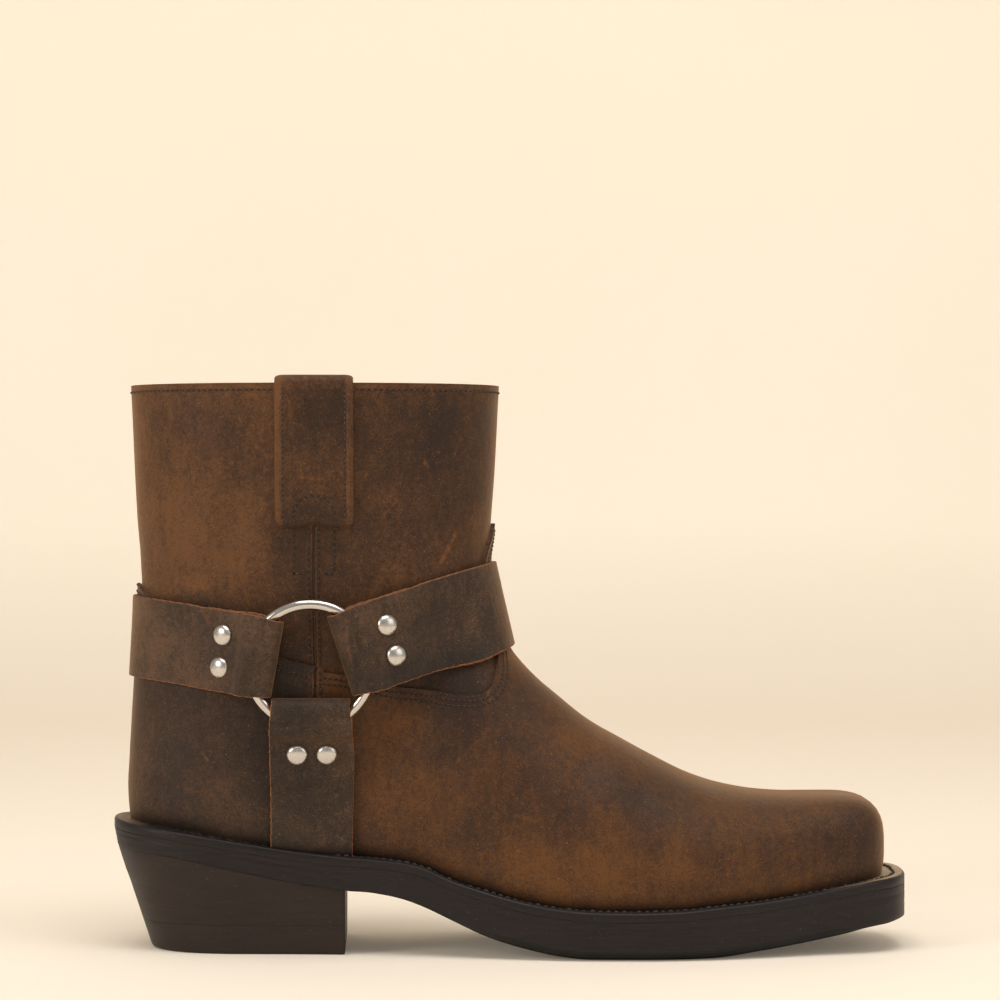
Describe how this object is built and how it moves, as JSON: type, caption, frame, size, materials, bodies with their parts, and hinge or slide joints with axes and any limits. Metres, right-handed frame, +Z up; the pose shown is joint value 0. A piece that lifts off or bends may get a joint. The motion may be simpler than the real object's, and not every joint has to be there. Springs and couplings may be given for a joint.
{
  "type": "harness boot",
  "caption": "Right harness boot: hollow leather upper with a square toe, riveted straps held by a ring on each side, welted sole and stacked undercut heel.",
  "frame": {"origin": "middle of the bounding box, on the floor", "axes": "+X to the toe, +Z up, -Y the outer side of the right foot"},
  "size_m": [0.304, 0.106, 0.2184],
  "materials": {
    "upper_leather": "oiled, soft nap, pulls up lighter",
    "strap_leather": "oiled, raw tan cut edges",
    "insole_leather": "plain",
    "welt_leather": "dressed edge, light stitches",
    "sole_rubber": "satin, fine scratches",
    "heel_stack": "satin, faint layers",
    "nickel_plate": "polished"
  },
  "bodies": {
    "root": {"upper": "upper_leather", "vamp": "upper_leather", "heel_counter": "upper_leather", "insole": "insole_leather", "welt": "welt_leather", "outsole": "sole_rubber", "heel_block": "heel_stack", "top_lift": "sole_rubber", "front_strap": "strap_leather", "back_strap": "strap_leather", "down_strap_outer": "strap_leather", "pull_strap_outer": "strap_leather", "ring_outer": "nickel_plate", "down_strap_inner": "strap_leather", "pull_strap_inner": "strap_leather", "ring_inner": "nickel_plate", "rivet_front_outer_1": "nickel_plate", "rivet_front_outer_2": "nickel_plate", "rivet_front_inner_1": "nickel_plate", "rivet_front_inner_2": "nickel_plate", "rivet_back_outer_1": "nickel_plate", "rivet_back_outer_2": "nickel_plate", "rivet_back_inner_1": "nickel_plate", "rivet_back_inner_2": "nickel_plate", "rivet_down_outer_1": "nickel_plate", "rivet_down_outer_2": "nickel_plate", "rivet_down_inner_1": "nickel_plate", "rivet_down_inner_2": "nickel_plate"}
  },
  "joints": []
}
